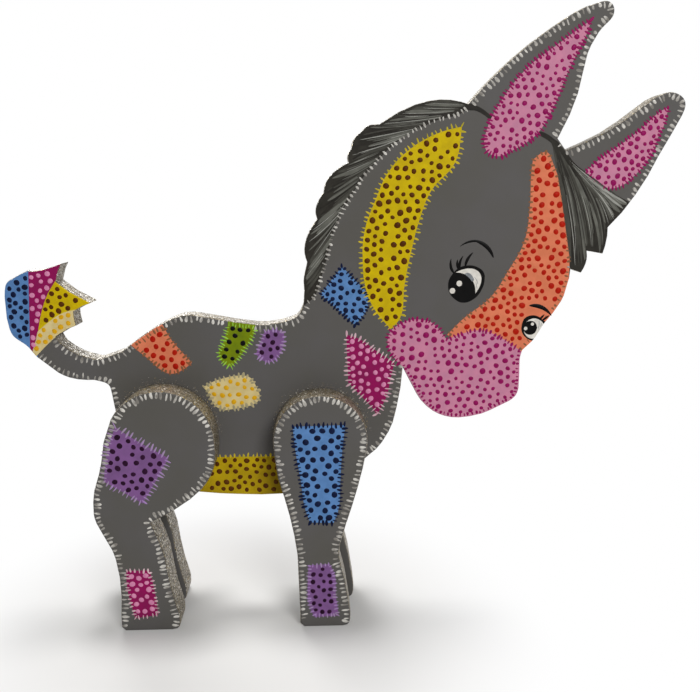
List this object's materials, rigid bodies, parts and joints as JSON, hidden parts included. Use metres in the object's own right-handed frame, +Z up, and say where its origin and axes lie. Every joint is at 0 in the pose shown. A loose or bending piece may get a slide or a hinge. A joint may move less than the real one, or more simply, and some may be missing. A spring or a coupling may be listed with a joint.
{
  "type": "donkey figurine",
  "caption": "Free-standing painted wooden donkey ornament: a flat sawn body board with leg boards dowelled flat against both of its sides.",
  "frame": {"origin": "on the floor plane of the soles, under the middle of the figure's bounding box", "axes": "+X from the tail towards the head, +Y towards the donkey's left side, +Z up"},
  "size_m": [0.3252, 0.044, 0.3035],
  "materials": {
    "painted_wood": "satin",
    "beech": "matte"
  },
  "bodies": {
    "root": {"body_board": "painted_wood", "right_hind_leg": "painted_wood", "left_hind_leg": "painted_wood", "right_front_leg": "painted_wood", "left_front_leg": "painted_wood", "hind_upper_dowel": "beech", "hind_lower_dowel": "beech", "front_upper_dowel": "beech", "front_lower_dowel": "beech"}
  },
  "joints": []
}
